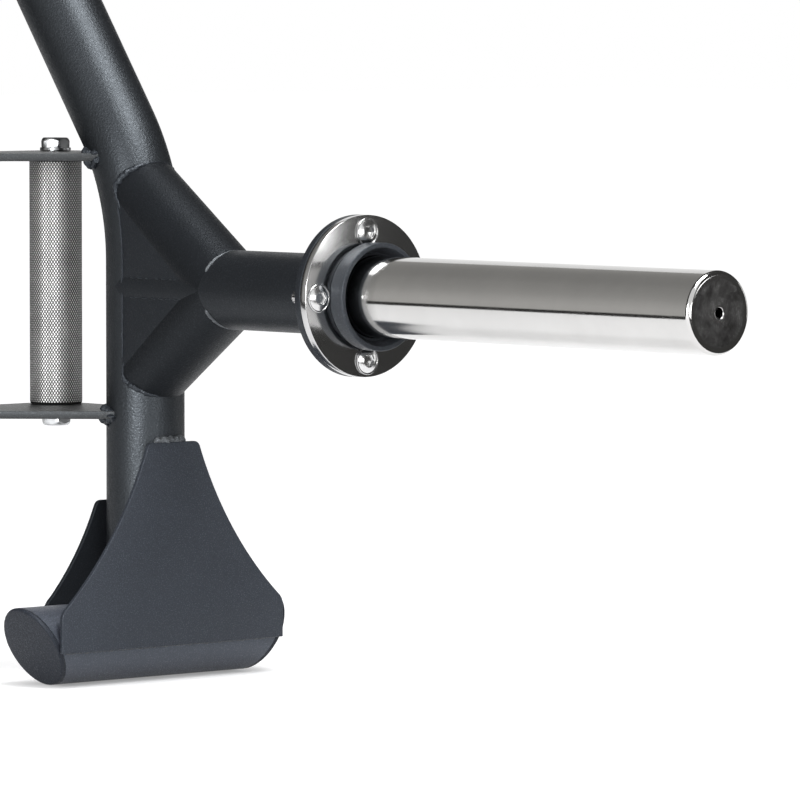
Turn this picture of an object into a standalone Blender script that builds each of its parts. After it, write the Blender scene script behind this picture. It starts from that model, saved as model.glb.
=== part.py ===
"""Open-ended trap bar standing upright on its two feet.

One bent tube makes the open U of the frame. On each side it carries a braced
stub tube with a bolted load sleeve, two plates that hold a low and a raised
knurled handle, and a cross foot with a bell shaped plate on either face.

Units are metres and +Z is up. X runs along the bar from sleeve to sleeve, the
raised handles are towards -Y, and the origin lies on the floor below the
middle of the frame. The two sides are mirror images across X = 0.
"""

import math

import bmesh
import bpy
from mathutils import Matrix, Vector

# Clearance
SEAT = 0.0003                     # air between two pieces that touch

# Whole bar
SIDE_X = 0.410                    # upright tube axis from the middle of the bar
SLEEVE_Z = 0.250                  # sleeve axis above the floor
TUBE_R = 0.025                    # every painted tube
TUBE_SIDES = 32

# Frame tube, heights above the sleeve axis
BEND_R = 0.145                    # bend radius on the centreline
BEND_START = 0.0162               # top of the vertical part
LEAN = math.radians(36)           # inward lean of the sloping part
CROSSBAR_RISE = 0.400             # axis of the level part at the top
BEND_STEP = math.radians(6)

# Stub tube, braces and web plates
BRACE_OUT = 0.081                 # brace axis crosses the stub axis, from the upright
BRACE_RISE = 0.0585               # brace axis crosses the upright, from the stub axis
WEB_INSET = 0.0008                # outer face of a web plate below the tubes' crown
WEB_THICK = 0.003

# Flanges and their screws
FLANGE_R = 0.050
FLANGE_THICK = 0.005
FLANGE_FACE = 0.212               # outer face of the sleeve flange, from the upright
FLANGE_EDGE = 0.0005
FLANGE_SIDES = 36
SCREW_CIRCLE = 0.0395
SCREW_R = 0.005
SCREW_HEAD_R = 0.0086
SCREW_HEAD_HIGH = 0.0055
SCREW_HEAD_EDGE = 0.0010          # straight side of the domed head
SCREW_CROWN_R = 0.0042            # flat on top of the dome
SCREW_TAIL = 0.004                # thread end behind the frame flange
SOCKET_FLATS = 0.006
SOCKET_DEEP = 0.0032
SMALL_SIDES = 16

# Load sleeve
SLEEVE_R = 0.025
SLEEVE_BORE_R = 0.020
SLEEVE_LONG = 0.308               # from the flange face to the free end
SLEEVE_LIP = 0.003                # rounding of the free end
PLUG_LONG = 0.008
PLUG_HOLE_R = 0.00325
PLUG_EDGE = 0.0004

# Collar ring at the foot of the sleeve, heights above the flange face
RING_R = 0.0333
RING_HIGH = 0.0145
RING_NECK_R = 0.0305              # clears the screw heads
RING_NECK_HIGH = 0.0043
RING_RIM = 0.003                  # width of the flat rim
RING_EDGE = 0.0006
RING_FLOOR_R = 0.0272             # step inside the cup
RING_FLOOR_HIGH = 0.0076
RING_STEP = 0.0007

# Handles
HANDLE_R = 0.017
HANDLE_LONG = 0.158
HANDLE_EDGE = 0.001
HANDLE_IN = 0.090                 # handle axes, inward of the upright
HANDLE_PITCH = 0.085              # low handle to raised handle
HANDLE_HOLE_DEEP = 0.025
HANDLE_SIDES = 20

# Handle plates
PLATE_THICK = 0.005
PLATE_ROUND_R = 0.021             # corners about the handle axes
PLATE_REAR = 0.024                # sloping edge meets the upright here

# Handle bolts
BOLT_R = 0.005
BOLT_GRIP = 0.018                 # thread inside the handle
BOLT_FLATS = 0.017
BOLT_HEAD_HIGH = 0.0064
BOLT_CHAMFER = 0.0009
WASHER_R = 0.010
WASHER_THICK = 0.002

# Feet
FOOT_HALF = 0.0935                # outer face of an end cap, at the tube axis
FOOT_RAKE = 0.5                   # slope of the cut ends, outward with height
CAP_THICK = 0.003
FOOT_PLATE_THICK = 0.003
FOOT_PLATE_DROP = 0.003           # lower edges of the plates below the tube axis
FOOT_SHOULDER = 0.047             # height where both plates start to curve in
OUTER_PLATE_SHORT = 0.002         # outer plate's ends short of the end caps' faces
OUTER_PLATE_TOP_HALF = 0.0205
OUTER_PLATE_TOP = 0.1515
OUTER_PLATE_CURVE = 0.250
INNER_PLATE_HALF = 0.0615
INNER_PLATE_TOP_HALF = 0.0185
INNER_PLATE_TOP = 0.1125
INNER_PLATE_CURVE = 0.186
FOOT_PLATE_CORNER = 0.004

# Drawing steps
CORNER_STEPS = 4
DOME_STEPS = 2
ARC_STEPS = 8
ROUND_STEP = math.radians(15)
SMOOTH_ANGLE = math.radians(35)
FLAT_ANGLE = math.radians(0.05)
MERGE = 0.00001                   # welds only points that coincide


def start():
    """Empty the scene and make the two collections."""
    for item in list(bpy.data.objects):
        bpy.data.objects.remove(item, do_unlink=True)
    for title in ("open_trap_bar", "open_trap_bar_cutters"):
        group = bpy.data.collections.new(title)
        bpy.context.scene.collection.children.link(group)
    return bpy.data.collections["open_trap_bar"], bpy.data.collections["open_trap_bar_cutters"]


def linear(level):
    """Turn a display level from 0 to 255 into a linear colour value."""
    part = level / 255
    if part <= 0.04045:
        return part / 12.92
    return ((part + 0.055) / 1.055) ** 2.4


def material(title, colour, roughness, metallic):
    """Make a Principled material from display colour levels."""
    look = bpy.data.materials.new(title)
    look.use_nodes = True
    shader = look.node_tree.nodes["Principled BSDF"]
    shader.inputs["Base Color"].default_value = (*[linear(level) for level in colour], 1)
    shader.inputs["Roughness"].default_value = roughness
    shader.inputs["Metallic"].default_value = metallic
    return look


def add(title, data, group, look=None):
    """Link a new object, wired and unrendered where it has no look of its own."""
    item = bpy.data.objects.new(title, data)
    group.objects.link(item)
    if look is None:
        item.hide_render = True
        item.display_type = "WIRE"
    elif look.name not in data.materials:
        data.materials.append(look)
    return item


def tidy(data):
    """Weld coincident points, clear split flats, face outwards and shade the round sides."""
    work = bmesh.new()
    work.from_mesh(data)
    bmesh.ops.remove_doubles(work, verts=work.verts, dist=MERGE)
    bmesh.ops.dissolve_degenerate(work, edges=work.edges, dist=MERGE)
    bmesh.ops.dissolve_limit(work, verts=work.verts, edges=work.edges, angle_limit=FLAT_ANGLE)
    bmesh.ops.recalc_face_normals(work, faces=work.faces)
    work.to_mesh(data)
    work.free()
    data.shade_smooth()
    data.set_sharp_from_angle(angle=SMOOTH_ANGLE)


def baked(item):
    """Swap an object for its evaluated, tidied mesh and remove the object."""
    bpy.context.view_layer.update()
    ready = item.evaluated_get(bpy.context.evaluated_depsgraph_get())
    data = bpy.data.meshes.new_from_object(ready)
    data.name = item.name
    data.transform(item.matrix_world)
    tidy(data)
    bpy.data.objects.remove(item, do_unlink=True)
    return data


def settle(item):
    """Fix an object's cuts into its own mesh."""
    bpy.context.view_layer.update()
    ready = item.evaluated_get(bpy.context.evaluated_depsgraph_get())
    data = bpy.data.meshes.new_from_object(ready)
    data.name = item.name
    item.modifiers.clear()
    item.data = data
    tidy(data)


def boolean(item, other, operation="DIFFERENCE"):
    """Cut, join or intersect one object with another."""
    step = item.modifiers.new(operation.lower(), "BOOLEAN")
    step.operation = operation
    step.object = other
    step.solver = "EXACT"


def rod_mesh(title, radius, length, sides):
    """A closed cylinder about Z, from 0 up to its length."""
    data = bpy.data.meshes.new(title)
    work = bmesh.new()
    bmesh.ops.create_cone(work, cap_ends=True, segments=sides, radius1=radius, radius2=radius,
                          depth=length, matrix=Matrix.Translation((0, 0, length / 2)))
    work.to_mesh(data)
    work.free()
    data.shade_smooth()
    data.set_sharp_from_angle(angle=SMOOTH_ANGLE)
    return data


def rod(title, radius, first, last, sides, group, look=None):
    """A cylinder from one point to another."""
    first = Vector(first)
    line = Vector(last) - first
    item = add(title, rod_mesh(title, radius, line.length, sides), group, look)
    item.location = first
    item.rotation_euler = line.to_track_quat("Z", "Y").to_euler()
    return item


def turned(title, profile, sides, group):
    """Spin a profile of (radius, height) points about Z into a closed mesh."""
    data = bpy.data.meshes.new(title)
    points = [(radius, 0, height) for radius, height in profile]
    edges = [(at, at + 1) for at in range(len(points) - 1)]
    if profile[-1][0] > 0:
        edges.append((len(points) - 1, 0))
    data.from_pydata(points, edges, [])
    item = add(title, data, group)
    spin = item.modifiers.new("turn", "SCREW")
    spin.axis = "Z"
    spin.angle = math.tau
    spin.steps = sides
    spin.render_steps = sides
    spin.use_merge_vertices = True
    spin.merge_threshold = MERGE
    return baked(item)


def piped(title, path, radius, group):
    """Sweep a round section along a path and close both ends."""
    curve = bpy.data.curves.new(title, "CURVE")
    curve.dimensions = "3D"
    curve.twist_mode = "MINIMUM"
    curve.bevel_depth = radius
    curve.bevel_resolution = (TUBE_SIDES - 4) // 2
    curve.use_fill_caps = True
    line = curve.splines.new("POLY")
    line.points.add(len(path) - 1)
    for point, place in zip(line.points, path):
        point.co = (*place, 1)
    return baked(add(title, curve, group))


def sheet(title, outline, thickness, group):
    """A flat plate with a drawn outline, half its thickness on either side of Z = 0."""
    curve = bpy.data.curves.new(title, "CURVE")
    curve.dimensions = "2D"
    curve.fill_mode = "BOTH"
    curve.extrude = thickness / 2
    line = curve.splines.new("POLY")
    line.points.add(len(outline) - 1)
    for point, place in zip(line.points, outline):
        point.co = (place[0], place[1], 0, 1)
    line.use_cyclic_u = True
    return baked(add(title, curve, group))


def arc(centre, radius, first, last, steps):
    """Points along a circular arc, both ends included."""
    angles = [first + (last - first) * at / steps for at in range(steps + 1)]
    return [(centre[0] + radius * math.cos(turn), centre[1] + radius * math.sin(turn)) for turn in angles]


def short_arc(middle, first, last, steps):
    """Points of the shorter arc about a middle, from one point to another."""
    one = first - middle
    two = last - middle
    begin = math.atan2(one.y, one.x)
    sweep = math.atan2(one.x * two.y - one.y * two.x, one.dot(two))
    return arc(middle, one.length, begin, begin + sweep, steps)


def fillet(before, corner, after, radius):
    """Points that round off a corner between two straight edges."""
    corner = Vector(corner)
    one = (Vector(before) - corner).normalized()
    two = (Vector(after) - corner).normalized()
    half = one.angle(two) / 2
    middle = corner + (one + two).normalized() * radius / math.sin(half)
    back = radius / math.tan(half)
    return short_arc(middle, corner + one * back, corner + two * back, CORNER_STEPS)


def hollow_arc(first, last, radius):
    """Points of an arc from one place to another, its centre on the right of the way."""
    first = Vector(first)
    last = Vector(last)
    chord = last - first
    across = Vector((chord.y, -chord.x)).normalized()
    middle = (first + last) / 2 + across * math.sqrt(radius ** 2 - (chord.length / 2) ** 2)
    return short_arc(middle, first, last, ARC_STEPS)


def inset(height):
    """How far the frame's centreline has moved inwards at a height above the sleeve axis."""
    bend_end = BEND_START + BEND_R * math.sin(LEAN)
    if height <= BEND_START:
        return 0
    if height <= bend_end:
        return BEND_R - math.sqrt(BEND_R ** 2 - (height - BEND_START) ** 2)
    return BEND_R * (1 - math.cos(LEAN)) + (height - bend_end) * math.tan(LEAN)


def frame_path():
    """Centreline of the frame tube, from the right foot round to the left foot."""
    top = SLEEVE_Z + CROSSBAR_RISE
    knee = arc((SIDE_X - BEND_R, SLEEVE_Z + BEND_START), BEND_R, 0, LEAN, round(LEAN / BEND_STEP))
    rest = math.pi / 2 - LEAN
    tangent = BEND_R * math.tan(rest / 2)
    shoulder_x = SIDE_X - inset(CROSSBAR_RISE) - tangent
    shoulder = arc((shoulder_x, top - BEND_R), BEND_R, LEAN, math.pi / 2, round(rest / BEND_STEP))
    right = [(SIDE_X, TUBE_R)] + knee + shoulder
    left = [(-x, z) for x, z in reversed(right)]
    return [(x, 0, z) for x, z in right + left]


def brace_end(side_up):
    """Where a brace axis meets the upright's centreline, as (outward, up) from the sleeve axis."""
    foot = Vector((BRACE_OUT, 0))
    way = (Vector((0, BRACE_RISE * side_up)) - foot).normalized()
    if side_up < 0:
        return Vector((0, -BRACE_RISE))
    centre = Vector((-BEND_R, BEND_START))
    along = (foot - centre).dot(way)
    spare = (foot - centre).length_squared - BEND_R ** 2
    return foot + way * (-along - math.sqrt(along ** 2 - spare))


def plate_outline(height):
    """Outline of a handle plate as (outward, y), for a height above the sleeve axis."""
    tube = -inset(height)
    low = (-HANDLE_IN, 0)
    raised = (-HANDLE_IN, -HANDLE_PITCH)
    reach = Vector((tube - raised[0], -PLATE_REAR - raised[1]))
    slope = math.atan2(reach.y, reach.x) - math.acos(PLATE_ROUND_R / reach.length)
    front = [(tube, PLATE_ROUND_R)]
    turn_low = arc(low, PLATE_ROUND_R, math.pi / 2, math.pi, round(math.pi / 2 / ROUND_STEP))
    sweep = slope + math.pi
    turn_raised = arc(raised, PLATE_ROUND_R, math.pi, math.pi + sweep, round(sweep / ROUND_STEP))
    return front + turn_low + turn_raised + [(tube, -PLATE_REAR)]


def foot_outline(half, top_half, top, curve):
    """Bell shaped outline of a foot plate as (y, z) from the floor."""
    bottom = TUBE_R - FOOT_PLATE_DROP
    shoulder = (half, FOOT_SHOULDER)
    peak = (top_half, top)
    flank = hollow_arc(shoulder, peak, curve)
    lower = fillet((half, bottom), shoulder, flank[1], FOOT_PLATE_CORNER)
    upper = fillet(flank[-2], peak, (0, top), FOOT_PLATE_CORNER)
    right = [(half, bottom)] + lower + flank[1:-1] + upper
    return right + [(-y, z) for y, z in reversed(right)]


def screw_profile():
    """Flange screw from the middle of its head down to the thread end."""
    rise = SCREW_HEAD_HIGH - SCREW_HEAD_EDGE
    ball = (SCREW_HEAD_R ** 2 + rise ** 2) / (2 * rise)
    centre = (0, SCREW_HEAD_HIGH - ball)
    first = math.acos(SCREW_CROWN_R / ball)
    last = math.acos(SCREW_HEAD_R / ball)
    dome = arc(centre, ball, first, last, DOME_STEPS)
    tail = -(SEAT * 2 + FLANGE_THICK * 2 + SCREW_TAIL)
    chamfer = SCREW_R * 0.2
    shank = [(SCREW_R, 0), (SCREW_R, tail + chamfer), (SCREW_R - chamfer, tail), (0, tail)]
    return [(0, dome[0][1])] + dome + [(SCREW_HEAD_R, 0)] + shank


def ring_profile():
    """Collar ring: outer wall and neck downwards, then bore and cup back up."""
    rim_in = RING_R - RING_RIM
    bore = SLEEVE_R + SEAT
    outside = [(RING_R - RING_EDGE, RING_HIGH), (RING_R, RING_HIGH - RING_EDGE),
               (RING_R, RING_NECK_HIGH), (RING_NECK_R, RING_NECK_HIGH), (RING_NECK_R, SEAT)]
    inside = [(bore, SEAT), (bore, RING_FLOOR_HIGH - RING_STEP), (RING_FLOOR_R, RING_FLOOR_HIGH),
              (RING_FLOOR_R, RING_FLOOR_HIGH + RING_STEP), (rim_in, RING_HIGH)]
    return outside + inside


def sleeve_profile():
    """Sleeve tube: rounded free end, outer wall downwards, bore back up."""
    lip = arc((SLEEVE_R - SLEEVE_LIP, SLEEVE_LONG - SLEEVE_LIP), SLEEVE_LIP, math.pi / 2, 0, CORNER_STEPS)
    return lip + [(SLEEVE_R, SEAT), (SLEEVE_BORE_R, SEAT), (SLEEVE_BORE_R, SLEEVE_LONG)]


def plug_profile():
    """End plug: flush with the sleeve's free end and pierced in the middle."""
    outer = SLEEVE_BORE_R - SEAT
    base = SLEEVE_LONG - PLUG_LONG
    return [(outer - PLUG_EDGE, SLEEVE_LONG), (outer, SLEEVE_LONG - PLUG_EDGE), (outer, base),
            (PLUG_HOLE_R, base), (PLUG_HOLE_R, SLEEVE_LONG)]


def flange_profile():
    """Flange disc with lightly broken edges."""
    return [(0, FLANGE_THICK), (FLANGE_R - FLANGE_EDGE, FLANGE_THICK), (FLANGE_R, FLANGE_THICK - FLANGE_EDGE),
            (FLANGE_R, FLANGE_EDGE), (FLANGE_R - FLANGE_EDGE, 0), (0, 0)]


def handle_profile():
    """Handle with a blind threaded hole in each end, centred on its own middle."""
    half = HANDLE_LONG / 2
    hole = BOLT_R + SEAT
    upper = [(0, half - HANDLE_HOLE_DEEP), (hole, half - HANDLE_HOLE_DEEP), (hole, half),
             (HANDLE_R - HANDLE_EDGE, half), (HANDLE_R, half - HANDLE_EDGE)]
    return upper + [(radius, -height) for radius, height in reversed(upper)]


def bolt_mesh(cutters):
    """Hex bolt and washer, its seat at Z = 0 and its thread downwards."""
    top = SEAT + WASHER_THICK + BOLT_HEAD_HIGH
    tip = -(PLATE_THICK + SEAT + BOLT_GRIP)
    chamfer = BOLT_R * 0.2
    neck = SEAT + WASHER_THICK
    stem = turned("bolt_stem", [(0, neck), (WASHER_R, neck), (WASHER_R, SEAT), (BOLT_R, SEAT),
                                (BOLT_R, tip + chamfer), (BOLT_R - chamfer, tip), (0, tip)],
                  SMALL_SIDES, cutters)
    corner = BOLT_FLATS / math.sqrt(3)
    flat = BOLT_FLATS / 2
    head_base = SEAT + WASHER_THICK / 2
    head = add("bolt_head", rod_mesh("bolt_head", corner, top - head_base, 6), cutters)
    head.location.z = head_base
    crown = add("bolt_crown", turned("bolt_crown", [(0, top), (flat * 0.94, top), (corner * 1.02, top - BOLT_CHAMFER),
                                                    (corner * 1.02, 0), (0, 0)], HANDLE_SIDES, cutters), cutters)
    boolean(head, crown, "INTERSECT")
    body = add("handle_bolt", stem, cutters)
    boolean(body, head, "UNION")
    data = baked(body)
    bpy.data.objects.remove(head, do_unlink=True)
    bpy.data.objects.remove(crown, do_unlink=True)
    return data


def screw_mesh(cutters):
    """Domed flange screw with a hex socket, its seat at Z = 0."""
    body = add("flange_screw", turned("flange_screw", screw_profile(), SMALL_SIDES, cutters), cutters)
    socket = add("socket", rod_mesh("socket", SOCKET_FLATS / math.sqrt(3), SCREW_HEAD_HIGH, 6), cutters)
    socket.location.z = SCREW_HEAD_HIGH - SOCKET_DEEP
    boolean(body, socket)
    data = baked(body)
    bpy.data.objects.remove(socket, do_unlink=True)
    return data


def screw_places():
    """The four screws as (name, y, z) about the sleeve axis."""
    return [("top", 0, SCREW_CIRCLE), ("bottom", 0, -SCREW_CIRCLE),
            ("front", -SCREW_CIRCLE, 0), ("back", SCREW_CIRCLE, 0)]


def raked_rod(title, inner, outer, group, look):
    """A length of tube along Y whose two ends share the foot's raked cut.

    inner and outer are the ends' distances along Y at the tube axis. Each end
    slopes outwards with height on its own side of the middle."""
    item = rod(title, TUBE_R, (0, inner, 0), (0, outer, 0), TUBE_SIDES, group, look)
    bpy.context.view_layer.update()
    data = item.data
    data.transform(item.matrix_basis)
    item.location = (0, 0, 0)
    item.rotation_euler = (0, 0, 0)
    for point in data.vertices:
        side = 1 if point.co.y > 0 else -1
        point.co.y += side * FOOT_RAKE * point.co.z
    return item


def make_tubes(side, name, parts, cutters, looks, fat_frame):
    """Stub tube, braces and web plates of one side."""
    def place(outward, y, up):
        return Vector((side * (SIDE_X + outward), y, SLEEVE_Z + up))

    stub_end = FLANGE_FACE - 2 * FLANGE_THICK - 2 * SEAT
    stub = rod("stub_tube_" + name, TUBE_R, place(0, 0, 0), place(stub_end, 0, 0),
               TUBE_SIDES, parts, looks["stub"])
    boolean(stub, fat_frame)
    settle(stub)
    fat_stub = rod("fat_stub_" + name, TUBE_R + SEAT, place(0, 0, 0), place(stub_end, 0, 0),
                   TUBE_SIDES, cutters)
    for level, up in (("upper", 1), ("lower", -1)):
        end = brace_end(up)
        first = place(BRACE_OUT, 0, 0)
        last = place(end.x, 0, end.y)
        brace = rod("brace_" + level + "_" + name, TUBE_R, first, last, TUBE_SIDES, parts, looks["brace"])
        boolean(brace, fat_frame)
        boolean(brace, fat_stub)
        settle(brace)
        fat_brace = rod("fat_brace_" + level + "_" + name, TUBE_R + SEAT, first, last, TUBE_SIDES, cutters)
        for face, back in (("front", -1), ("back", 1)):
            title = "web_" + level + "_" + face + "_" + name
            corners = [(side * SIDE_X, 0), (side * (SIDE_X + BRACE_OUT), 0), (side * (SIDE_X + end.x), end.y)]
            web = add(title, sheet(title, corners, WEB_THICK, cutters), parts, looks["web"])
            web.rotation_euler.x = math.pi / 2
            web.location = (0, back * (TUBE_R - WEB_INSET - WEB_THICK / 2), SLEEVE_Z)
            for cutter in (fat_frame, fat_stub, fat_brace):
                boolean(web, cutter)
            settle(web)


def make_sleeve(side, name, parts, cutters, looks, meshes):
    """Flanges, screws, sleeve, plug and collar ring of one side."""
    turn = (0, side * math.pi / 2, 0)
    face = FLANGE_FACE

    def seat(title, data, outward, y, z, look):
        item = add(title + "_" + name, data, parts, look)
        item.location = (side * (SIDE_X + outward), y, SLEEVE_Z + z)
        item.rotation_euler = turn
        return item

    holes = bpy.data.meshes.new("flange_holes_" + name)
    work = bmesh.new()
    for where, y, z in screw_places():
        bmesh.ops.create_cone(work, cap_ends=True, segments=SMALL_SIDES, radius1=SCREW_R + SEAT,
                              radius2=SCREW_R + SEAT, depth=FLANGE_THICK * 4,
                              matrix=Matrix.Translation((z, y, 0)))
    work.to_mesh(holes)
    work.free()
    drill = add("flange_holes_" + name, holes, cutters)
    drill.location = (side * (SIDE_X + face - FLANGE_THICK), 0, SLEEVE_Z)
    drill.rotation_euler = turn
    for title, outward in (("sleeve_flange", face - FLANGE_THICK),
                           ("frame_flange", face - 2 * FLANGE_THICK - SEAT)):
        disc = seat(title, meshes[title].copy(), outward, 0, 0, looks[title])
        boolean(disc, drill)
        settle(disc)
    for where, y, z in screw_places():
        seat("flange_screw_" + where, meshes["flange_screw"], face + SEAT, y, z, looks["flange_screw"])
    for title in ("sleeve_tube", "sleeve_end_plug", "collar_ring"):
        seat(title, meshes[title], face, 0, 0, looks[title])


def make_handles(side, name, parts, cutters, looks, meshes, fat_frame):
    """Two plates with the low and the raised handle between them, and their bolts."""
    reach = HANDLE_LONG / 2 + SEAT
    axes = (("low", 0), ("raised", -HANDLE_PITCH))
    handle_x = side * (SIDE_X - HANDLE_IN)
    drills = []
    for grip, y in axes:
        drills.append(rod("bolt_hole_" + grip + "_" + name, BOLT_R + SEAT, (handle_x, y, SLEEVE_Z - reach * 2),
                          (handle_x, y, SLEEVE_Z + reach * 2), SMALL_SIDES, cutters))
        handle = add("handle_" + grip + "_" + name, meshes["handle"], parts, looks["handle"])
        handle.location = (handle_x, y, SLEEVE_Z)
    for level, up in (("upper", 1), ("lower", -1)):
        middle = up * (reach + PLATE_THICK / 2)
        title = "handle_plate_" + level + "_" + name
        outline = [(side * (SIDE_X + x), y) for x, y in plate_outline(middle)]
        plate = add(title, sheet(title, outline, PLATE_THICK, cutters), parts, looks["handle_plate"])
        plate.location.z = SLEEVE_Z + middle
        for cutter in (fat_frame, *drills):
            boolean(plate, cutter)
        settle(plate)
        for grip, y in axes:
            bolt = add("handle_bolt_" + grip + "_" + level + "_" + name, meshes["handle_bolt"],
                       parts, looks["handle_bolt"])
            bolt.location = (handle_x, y, SLEEVE_Z + up * (reach + PLATE_THICK))
            bolt.rotation_euler.x = 0 if up > 0 else math.pi


def make_foot(side, name, parts, cutters, looks):
    """Foot tube with raked ends, its caps and the two bell shaped plates."""
    incline = math.sqrt(1 + FOOT_RAKE ** 2)
    cap_inner = FOOT_HALF - CAP_THICK * incline
    tube_half = cap_inner - SEAT * incline
    centre = (side * SIDE_X, 0, TUBE_R)
    tube = raked_rod("foot_tube_" + name, -tube_half, tube_half, parts, looks["foot_tube"])
    tube.location = centre
    for face, back in (("front", -1), ("back", 1)):
        cap = raked_rod("foot_end_cap_" + face + "_" + name, back * cap_inner, back * FOOT_HALF,
                        parts, looks["foot_end_cap"])
        cap.location = centre
    bells = (("outer", 1, FOOT_HALF - OUTER_PLATE_SHORT, OUTER_PLATE_TOP_HALF, OUTER_PLATE_TOP, OUTER_PLATE_CURVE),
             ("inner", -1, INNER_PLATE_HALF, INNER_PLATE_TOP_HALF, INNER_PLATE_TOP, INNER_PLATE_CURVE))
    for face, out, half, top_half, top, curve in bells:
        title = "foot_plate_" + face + "_" + name
        outline = foot_outline(half, top_half, top, curve)
        plate = add(title, sheet(title, outline, FOOT_PLATE_THICK, cutters), parts, looks["foot_plate_" + face])
        plate.rotation_euler = (math.pi / 2, 0, math.pi / 2)
        plate.location.x = side * (SIDE_X + out * (TUBE_R + SEAT + FOOT_PLATE_THICK / 2))


def build():
    """Model the whole bar."""
    parts, cutters = start()
    looks = {
        "frame": material("frame_tube_paint", (74, 79, 87), 0.48, 0.0),
        "stub": material("stub_tube_paint", (66, 69, 76), 0.50, 0.0),
        "brace": material("brace_paint", (72, 77, 84), 0.48, 0.0),
        "web": material("web_paint", (60, 63, 68), 0.52, 0.0),
        "frame_flange": material("frame_flange_paint", (52, 54, 58), 0.50, 0.0),
        "sleeve_flange": material("sleeve_flange_chrome", (205, 206, 208), 0.10, 1.0),
        "flange_screw": material("flange_screw_zinc", (170, 171, 172), 0.28, 1.0),
        "sleeve_tube": material("sleeve_chrome", (200, 201, 203), 0.14, 1.0),
        "sleeve_end_plug": material("sleeve_plug_steel", (120, 121, 122), 0.35, 1.0),
        "collar_ring": material("collar_ring_satin", (48, 50, 53), 0.38, 0.0),
        "handle": material("handle_chrome", (176, 177, 178), 0.30, 1.0),
        "handle_plate": material("handle_plate_paint", (86, 88, 92), 0.50, 0.0),
        "handle_bolt": material("handle_bolt_zinc", (162, 163, 165), 0.30, 1.0),
        "foot_tube": material("foot_tube_paint", (72, 76, 84), 0.48, 0.0),
        "foot_end_cap": material("foot_cap_paint", (68, 73, 79), 0.50, 0.0),
        "foot_plate_outer": material("foot_outer_plate_paint", (62, 66, 73), 0.52, 0.0),
        "foot_plate_inner": material("foot_inner_plate_paint", (48, 50, 54), 0.52, 0.0),
    }
    meshes = {
        "sleeve_flange": turned("sleeve_flange", flange_profile(), FLANGE_SIDES, cutters),
        "frame_flange": turned("frame_flange", flange_profile(), FLANGE_SIDES, cutters),
        "flange_screw": screw_mesh(cutters),
        "sleeve_tube": turned("sleeve_tube", sleeve_profile(), TUBE_SIDES, cutters),
        "sleeve_end_plug": turned("sleeve_end_plug", plug_profile(), HANDLE_SIDES, cutters),
        "collar_ring": turned("collar_ring", ring_profile(), FLANGE_SIDES, cutters),
        "handle": turned("handle", handle_profile(), HANDLE_SIDES, cutters),
        "handle_bolt": bolt_mesh(cutters),
    }
    path = frame_path()
    frame = add("frame_tube", piped("frame_tube", path, TUBE_R, cutters), parts, looks["frame"])
    fat_frame = add("fat_frame", piped("fat_frame", path, TUBE_R + SEAT, cutters), cutters)
    for side, name in ((1, "right"), (-1, "left")):
        fat_foot = rod("fat_foot_" + name, TUBE_R + SEAT, (side * SIDE_X, -FOOT_HALF, TUBE_R),
                       (side * SIDE_X, FOOT_HALF, TUBE_R), TUBE_SIDES, cutters)
        boolean(frame, fat_foot)
        settle(frame)
        make_tubes(side, name, parts, cutters, looks, fat_frame)
        make_sleeve(side, name, parts, cutters, looks, meshes)
        make_handles(side, name, parts, cutters, looks, meshes, fat_frame)
        make_foot(side, name, parts, cutters, looks)


build()
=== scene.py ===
"""Looks of an open-ended trap bar: textured paint, chrome sleeves and knurled handles.

Places are metres in the bar's own frame. The helpers that shape one side work
in its local frame (outward, y, up): outward from the upright tube's axis, up
from the sleeve axis. set_side() carries such points to the right or left side.
"""

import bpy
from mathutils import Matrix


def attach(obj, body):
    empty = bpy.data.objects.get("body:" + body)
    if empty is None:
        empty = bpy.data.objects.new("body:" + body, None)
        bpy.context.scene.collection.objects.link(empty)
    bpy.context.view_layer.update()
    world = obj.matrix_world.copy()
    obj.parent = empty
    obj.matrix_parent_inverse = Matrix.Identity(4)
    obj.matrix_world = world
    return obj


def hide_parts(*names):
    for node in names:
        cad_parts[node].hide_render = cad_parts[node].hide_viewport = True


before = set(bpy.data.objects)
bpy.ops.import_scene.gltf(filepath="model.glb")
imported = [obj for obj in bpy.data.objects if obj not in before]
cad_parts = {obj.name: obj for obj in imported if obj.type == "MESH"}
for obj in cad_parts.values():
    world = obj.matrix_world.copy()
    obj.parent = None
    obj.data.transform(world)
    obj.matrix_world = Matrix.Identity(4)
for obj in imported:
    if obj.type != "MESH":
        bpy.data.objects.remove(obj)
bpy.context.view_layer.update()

import math

import bpy
import numpy as np
from mathutils import Matrix, Vector

# Frame
SIDE_X = 0.410
SLEEVE_Z = 0.250
TUBE_R = 0.02499
TUBE_AROUND = 96
BEND_R = 0.145
BEND_START = 0.0162
BEND_STEPS = 24
LEAN = math.radians(36)
CROSSBAR_RISE = 0.400
BRACE_OUT = 0.081
BRACE_RISE = 0.0585
BRACE_END_R = 0.0242
WELD_UPPER = 0.0025
WELD_LOWER = 0.0018
WELD_STUB = 0.0013
WELD_TURN = (0.0, 0.35, 0.75, 1.3, 1.85)
WELD_GIRTH = (0.15, 0.40, 0.90, 1.0, 0.15)
WEB_FACE = 0.0242
WEB_THICK = 0.003
STUB_SEAM = (0.014, 0.058)
UPRIGHT_SEAM = (-0.045, 0.052)
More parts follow.
